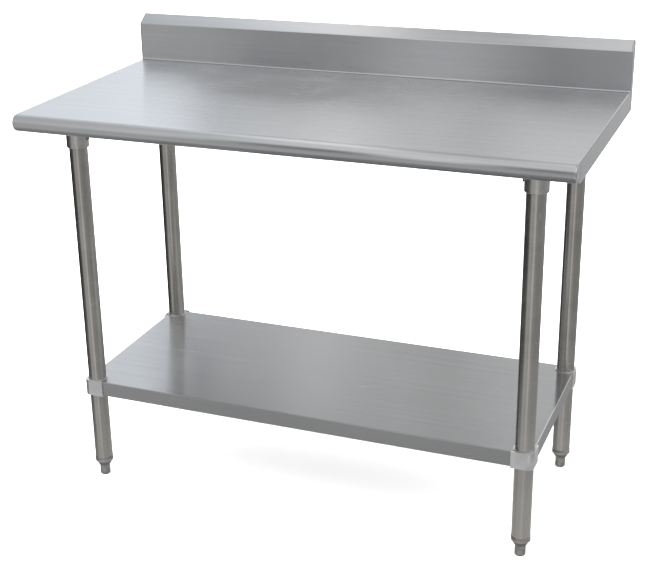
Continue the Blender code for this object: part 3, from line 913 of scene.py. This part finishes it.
def makeClamps(size):
    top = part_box("undershelf_pan")[1].z
    low, high = top - size["below"], top + size["above"]
    reach, pan = size["reach"], size["pan"]
    clamp = block("clamp", (-reach, -reach, low), (reach, reach, high))
    chooseEdges(lambda co: near(co.x, reach) and near(co.y, reach))
    bpy.ops.mesh.bevel(offset=size["corner"], segments=12, affect="EDGES")
    tidyMesh()
    for far in ((pan, 0), (0, pan)):
        tool = block("tool", (-2 * reach, -2 * reach, low - toolPast), (*far, high + toolPast))
        tidyMesh()
        cut(clamp, tool)
    ringLow, ringHigh, ring, small = low - size["lip"], high + size["lip"], size["ring"], size["ringBreak"]
    rings = [(ring - small, ringLow), (ring, ringLow + small)]
    rings += [(ring, ringHigh - small), (ring - small, ringHigh)]
    cut(clamp, turnedPiece("ring", rings, 72), "UNION")
    inward = Matrix.Rotation(math.radians(size["inward"]), 4, "Z")
    inward = Matrix.Translation((0, 0, top - size["screwDrop"])) @ inward
    boss, end = size["boss"], size["bossEnd"]
    rings = [(boss + wider, start) for start, wider in (size["bossRoot"], size["bossNeck"])]
    rings += [(boss, end - small), (boss - small, end)]
    tool = turnedPiece("boss", rings, 40)
    layAlongX(tool, 0)
    tool.data.transform(inward)
    cut(clamp, tool, "UNION")
    bore, mouth, past = size["bore"], size["bore"] + size["boreBreak"], size["borePast"]
    rings = [(mouth, ringLow - past), (mouth, ringLow), (bore, ringLow + size["boreBreak"])]
    rings += [(bore, ringHigh - size["boreBreak"]), (mouth, ringHigh), (mouth, ringHigh + past)]
    cut(clamp, turnedPiece("bore", rings, 96))
    tool = turnedPiece("hole", [(size["screw"] + screwCut["play"], out) for out in size["hole"]], 32)
    layAlongX(tool, 0)
    tool.data.transform(inward)
    cut(clamp, tool)
    soften(clamp, size["rounding"], 3, 40)
    shadeByAngle(clamp, 40)
    screw = makeSetScrew(size, screwCut)
    screw.data.transform(inward)
    for corner, at in legAt.items():
        piece = copyTo(clamp, f"clamp_{corner}", (at.x, at.y, 0), flip=outward[corner])
        fit(piece, castFinish, "undershelf", "cast", f"corner_clamp_{corner}")
        piece = copyTo(screw, f"clamp_screw_{corner}", (at.x, at.y, 0), flip=outward[corner])
        fit(piece, screwFinish, "undershelf", "screw", f"clamp_set_screw_{corner}")
    bpy.data.objects.remove(clamp)
    bpy.data.objects.remove(screw)


print("Undershelf")
makeShelf(shelfSize)
makeStiffener(stiffenerSize)
makeClamps(clampSize)


# Adjustable bullet feet, each on a threaded stem in an insert

insertSize = {
    "collar": 0.02135,
    "nose": 0.0146,
    "plug": 0.0188,
    "pocket": 0.0124,
    "pocketTop": 0.053,
    "thread": 0.0082,
    "play": 0.0003,  # between the collar and the leg's end
    "edgeBreak": 0.0006,
    "flare": (0.0012, 0.0028),  # out from the nose and up from its end
    "taper": (0.0024, 0.0128),  # in from the collar and down from its top
    "collarFoot": 0.0040,
    # each rounding's radius, then how far in its centre lies and how far down
    "shoulder": (0.0016, 0.0016, 0.0104),
    "groove": (0.0006, 0.0009, 0.0031),
    "lip": (0.0012, 0.0011, 0.0013),
}
footSize = {
    "radius": 0.0120,
    "waist": 0.0114,
    "round": 0.0035,
    "rim": 0.0008,
    "bore": 0.0081,
    "boreBottom": 0.020,
    "grooveStart": 0.012,  # heights above the floor
    "grooveStep": (0.0128, 0.0004),  # its height and how far in it is
    "waistBetween": (0.0136, 0.0150),
    "grooveEnd": 0.0160,
}
stemSize = {
    "radius": 0.0078,
    "root": 0.0069,
    "pitch": 0.002309,
    "tip": 0.0004,
    "plainEnd": 0.004,
}


def makeInserts(size):
    low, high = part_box("foot_insert_front_left")
    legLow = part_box("leg_tube_front_left")[0].z
    collarTop, collar, nose = legLow - size["play"], size["collar"], size["nose"]
    pocket, plug, thread, small = size["pocket"], size["plug"], size["thread"], size["edgeBreak"]
    out, up = size["flare"]
    narrow, down = size["taper"]
    rings = [(pocket, low.z + small), (pocket + small, low.z), (nose - small, low.z), (nose, low.z + small)]
    rings += [(nose + out, low.z + up), (collar - narrow, collarTop - down)]

    def roundAt(part, start, end, steps):
        radius, inward, down = size[part]
        return roundPoints((collar - inward, collarTop - down), radius, start, end, steps)

    rings += roundAt("shoulder", -50, 0, 4)
    rings += [(collar, collarTop - size["collarFoot"])]
    rings += roundAt("groove", -90, -150, 3)
    rings += roundAt("lip", -60, 90, 6)
    rings += [(plug, collarTop), (plug, high.z - small), (plug - small, high.z), (thread, high.z)]
    rings += [(thread, size["pocketTop"]), (pocket, size["pocketTop"])]
    insert = turnedPiece("insert", rings, 72, hollow=True)
    shadeByAngle(insert)
    for corner, at in legAt.items():
        piece = copyTo(insert, f"insert_{corner}", (at.x, at.y, 0), turn=at.x * 3)
        fit(piece, insertFinish, "table", "tube", f"foot_insert_{corner}")
    bpy.data.objects.remove(insert)


def makeFeet(size, stem):
    low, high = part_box("bullet_foot_front_left")
    radius, curve, rim, bore = size["radius"], size["round"], size["rim"], size["bore"]
    stepUp, stepIn = size["grooveStep"]
    rings = roundPoints((radius - curve, low.z + curve), curve, -90, 0, 8)
    rings += [(radius, low.z + size["grooveStart"]), (radius - stepIn, low.z + stepUp)]
    rings += [(size["waist"], low.z + up) for up in size["waistBetween"]]
    rings += [(radius, low.z + size["grooveEnd"]), (radius, high.z - rim), (radius - rim, high.z)]
    rings += [(bore, high.z), (bore, size["boreBottom"])]
    foot = turnedPiece("foot", rings, 64)
    shadeByAngle(foot)
    low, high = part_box("foot_stem_front_left")
    crest, root, pitch, tip = stem["radius"], stem["root"], stem["pitch"], stem["tip"]
    rings = [(crest - tip, low.z), (crest, low.z + tip)]
    height = low.z + stem["plainEnd"]
    while height < high.z - 2 * pitch:
        rings += [(crest, height), (root, height + pitch / 2)]
        height += pitch
    rings += [(crest, height), (root - tip, high.z)]
    thread = turnedPiece("thread", rings, 48)
    shadeByAngle(thread)
    for corner, at in legAt.items():
        piece = copyTo(foot, f"foot_{corner}", (at.x, at.y, 0), turn=at.y * 5)
        fit(piece, footFinish, f"bullet_foot_body_{corner}", "tube", f"bullet_foot_{corner}")
        piece = copyTo(thread, f"stem_{corner}", (at.x, at.y, 0))
        fit(piece, screwFinish, f"foot_stem_body_{corner}", "screw", f"foot_stem_{corner}")
    bpy.data.objects.remove(foot)
    bpy.data.objects.remove(thread)


print("Feet")
makeInserts(insertSize)
makeFeet(footSize, stemSize)


# Floor, light and camera

floorSize = {"side": 24, "below": 0.0002}
lampSet = {"at": (0.3, -0.4, 4.0), "side": 5, "watts": 60}
cameraSet = {
    "at": (1.0393, -2.6658, 1.6282),
    "turn": (68.4187, 1.2486, 22.2827),
    "lens": 73.99,
    "sensor": 36,
    "shift": (0.0428, -0.0010),
    "far": 100,
}
# the room's walls from left to right, before and behind the table, and their light from floor to ceiling
frontWall = [
    (0.00, 0.06),
    (0.115, 0.07),
    (0.16, 0.22),
    (0.22, 0.44),
    (0.45, 0.40),
    (0.50, 0.33),
    (0.52, 0.60),
    (0.65, 0.64),
    (0.69, 0.34),
    (0.80, 0.30),
    (1.00, 0.26),
]
frontHaze = [
    (0.00, 0.70),
    (0.20, 0.90),
    (0.268, 1.15),
    (0.286, 0.95),
    (0.298, 0.30),
    (0.328, 0.11),
    (0.337, 0.45),
    (0.350, 1.30),
    (0.362, 1.45),
    (0.378, 1.10),
    (0.388, 0.45),
    (0.403, 0.08),
    (0.413, 0.35),
    (0.426, 0.65),
    (1.00, 0.60),
]
frontUpper = [(0.0, 0.60), (0.22, 0.66), (0.27, 0.76), (0.32, 1.0), (0.40, 0.93), (1.0, 0.90)]
backWall = [
    (0.00, 0.05),
    (0.10, 0.06),
    (0.15, (0.80, 0.83, 0.86)),
    (0.20, (1.06, 1.11, 1.17)),
    (0.25, (1.16, 1.21, 1.28)),
    (0.285, (1.42, 1.48, 1.55)),
    (0.300, (1.80, 1.83, 1.88)),
    (0.325, (2.00, 2.00, 2.01)),
    (0.335, 1.85),
    (0.350, 1.22),
    (0.356, 0.90),
    (0.386, 0.72),
    (0.406, 1.00),
    (0.430, 1.12),
    (0.56, 0.73),
    (1.00, 0.50),
]
backUpper = [
    (0.00, 0.05),
    (0.14, 0.10),
    (0.20, (1.10, 1.16, 1.22)),
    (0.270, (1.36, 1.43, 1.50)),
    (0.276, (1.44, 1.49, 1.55)),
    (0.287, 0.26),
    (0.317, 0.24),
    (0.3315, 0.60),
    (0.347, 0.62),
    (0.363, 0.94),
    (0.379, 0.72),
    (0.3945, 1.00),
    (0.41, 0.98),
    (0.56, 0.73),
    (1.00, 0.50),
]
frontLight = [(0.0, 0.30), (0.22, 0.42), (0.30, 1.05), (0.36, 1.08), (0.40, 1.0), (0.5, 1.0)]
backLight = [(0.0, 0.28), (0.30, 0.40), (0.42, 0.62), (0.50, 0.92), (0.583, 1.0)]
backLight += [(0.66, 1.05), (0.72, 0.88), (0.78, 0.60), (0.86, 0.56), (0.94, 0.95), (1.0, 1.10)]
frontSky = [(0.50, 0.48), (0.56, 0.58), (0.63, 0.76), (0.70, 0.88)]
frontSky += [(0.77, 0.84), (0.85, 0.74), (0.93, 0.84), (1.0, 1.10)]
groundLight = [(0.0, 0.20), (0.20, 0.22), (0.29, 0.50), (0.34, 0.55)]
# heights between which one part of the room fades into the next: 0 is straight down, 1 straight up
fades = {
    "groundEnds": (0.32, 0.365),
    "hazeStarts": (0.49, 0.53),
    "windowStarts": (0.53, 0.60),
    "streaksEnd": (0.60, 0.68),
    "upperStarts": (0.605, 0.622),
    "upperEnds": (0.725, 0.765),
}


def makeFloor(size):
    deselectAll()
    bpy.ops.mesh.primitive_plane_add(size=size["side"], location=(0, 0, -size["below"]))
    floor = editNew("floor")
    tidyMesh()
    finish, recipe = newFinish("paleFloor")
    mottle = recipe.noise(recipe.place(), 3, detail=4)
    colour = recipe.blend(mottle, rgb(0.90, 0.90, 0.90), rgb(0.93, 0.93, 0.93))
    values = {"Base Color": colour, "Roughness": 0.9}
    shader = recipe.node("ShaderNodeBsdfPrincipled", values=values)
    recipe.node("ShaderNodeOutputMaterial", values={"Surface": shader})
    floor.data.materials.append(finish)
    floor.visible_glossy = False


def makeStudio(lamp):
    # one big overhead light for the floor, and a plain room of pale and dim walls for the steel
    deselectAll()
    bpy.ops.object.light_add(type="AREA", location=lamp["at"])
    light = bpy.context.object
    light.data.shape = "SQUARE"
    light.data.size = lamp["side"]
    light.data.energy = lamp["watts"]
    light.visible_glossy = False
    world = bpy.data.worlds.new("studio")
    world.cycles.sampling_method = "NONE"
    bpy.context.scene.world = world
    recipe = Recipe(world)
    x, y, z = recipe.split(recipe.node("ShaderNodeTexCoord", out="Generated"))
    across = x * 0.5 + 0.5
    height = recipe.node("ShaderNodeMath", {"operation": "ARCSINE"}, {0: z}) * (1 / math.pi) + 0.5

    def above(fade):
        return recipe.smooth(height, *fades[fade])

    before = recipe.times(recipe.ramp(frontWall, across), recipe.ramp(frontLight, height))
    streaks, plain = recipe.ramp(frontHaze, across), recipe.ramp(frontUpper, across)
    haze = recipe.blend(above("streaksEnd"), streaks, plain)
    haze = recipe.times(haze, recipe.ramp(frontSky, height))
    before = recipe.blend(above("hazeStarts"), before, haze)
    upper = above("upperStarts") * (1 - above("upperEnds"))
    behind = recipe.blend(upper, recipe.ramp(backWall, across), recipe.ramp(backUpper, across))
    behind = recipe.times(behind, recipe.ramp(backLight, height))
    room = recipe.blend(recipe.smooth(y, -0.2, 0.2), before, behind)
    window = recipe.smooth(x, 0.55, 0.85) * above("windowStarts")
    room = recipe.blend(window, room, rgb(0.9, 0.9, 0.92))
    room = recipe.blend(above("groundEnds"), recipe.ramp(groundLight, height), room)
    white = rgb(1, 1, 1)
    steelSees = recipe.node("ShaderNodeBackground", values={"Color": room, "Strength": 1})
    floorSees = recipe.node("ShaderNodeBackground", values={"Color": white, "Strength": 3.1})
    eyeSees = recipe.node("ShaderNodeBackground", values={"Color": white, "Strength": 1})
    direct, spread = recipe.node("ShaderNodeLightPath", out=("Is Camera Ray", "Is Diffuse Ray"))
    unseen = recipe.node("ShaderNodeMixShader", values={0: spread, 1: steelSees, 2: floorSees})
    both = recipe.node("ShaderNodeMixShader", values={0: direct, 1: unseen, 2: eyeSees})
    recipe.node("ShaderNodeOutputWorld", values={"Surface": both})


def makeCamera(camera):
    data = bpy.data.cameras.new("camera")
    data.lens = camera["lens"]
    data.sensor_width = camera["sensor"]
    data.shift_x, data.shift_y = camera["shift"]
    data.clip_end = camera["far"]
    holder = bpy.data.objects.new("camera", data)
    holder.location = camera["at"]
    holder.rotation_euler = [math.radians(angle) for angle in camera["turn"]]
    bpy.context.scene.collection.objects.link(holder)
    bpy.context.scene.camera = holder
    bpy.context.scene.view_settings.view_transform = "Standard"


print("Floor, light and camera")
makeFloor(floorSize)
makeStudio(lampSet)
makeCamera(cameraSet)
